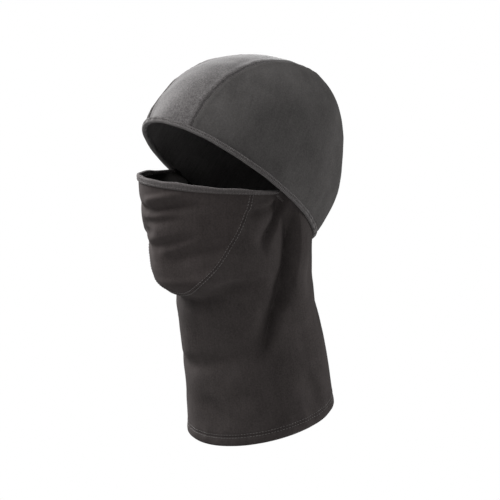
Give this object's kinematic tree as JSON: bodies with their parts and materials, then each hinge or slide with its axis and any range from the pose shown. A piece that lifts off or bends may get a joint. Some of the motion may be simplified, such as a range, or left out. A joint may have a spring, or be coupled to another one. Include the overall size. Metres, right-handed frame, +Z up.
{
  "type": "hinged balaclava",
  "caption": "Fleece balaclava with a bound hood, a pull-down face mask and a hemmed neck tube; hood and mask swing about one line beside the ears.",
  "frame": {"origin": "inner face of the crown, where the top of the head rests", "axes": "+Z up along the wearer's head, face towards -Y, wearer's left side +X"},
  "size_m": [0.1704, 0.2042, 0.3662],
  "materials": {
    "hood_cloth": "brushed charcoal fleece knit",
    "crown_cloth": "brushed charcoal heather fleece knit",
    "mask_cloth": "smooth stretch knit, slightly warm charcoal",
    "neck_cloth": "smooth stretch knit, dark charcoal",
    "binding": "ribbed elastic binding",
    "thread": "matte polyester thread",
    "label": "plain woven satin"
  },
  "bodies": {
    "neck": {"neck_panel": "neck_cloth", "mask_seam_stitches_left": "thread", "mask_seam_stitches_right": "thread", "neck_back_seam_stitches": "thread", "hem_facing": "neck_cloth", "hem_coverstitch": "thread", "hinge_bartack_left": "thread", "hinge_bartack_right": "thread", "care_label": "label"},
    "hood": {"crown_center_panel": "crown_cloth", "crown_left_panel": "hood_cloth", "crown_right_panel": "hood_cloth", "crown_seam_stitches_left": "thread", "crown_seam_stitches_right": "thread", "hood_face_binding": "binding", "hood_binding_stitches": "thread"},
    "mask": {"mask_front_panel": "mask_cloth", "mask_top_binding": "binding", "mask_binding_stitches": "thread"}
  },
  "joints": [
    {"name": "hood_push_back", "type": "hinge", "parent": "neck", "child": "hood", "pos_m": [0, -0.0275, -0.115], "axis": [-1, 0, 0], "range_deg": [0, 60], "deforming": ["crown_center_panel", "crown_left_panel", "crown_right_panel", "crown_seam_stitches_left", "crown_seam_stitches_right", "hood_face_binding", "hood_binding_stitches"]},
    {"name": "mask_pull_down", "type": "hinge", "parent": "neck", "child": "mask", "pos_m": [0, -0.0275, -0.115], "axis": [1, 0, 0], "range_deg": [0, 40], "deforming": ["mask_front_panel", "mask_top_binding", "mask_binding_stitches", "neck_panel"]}
  ]
}
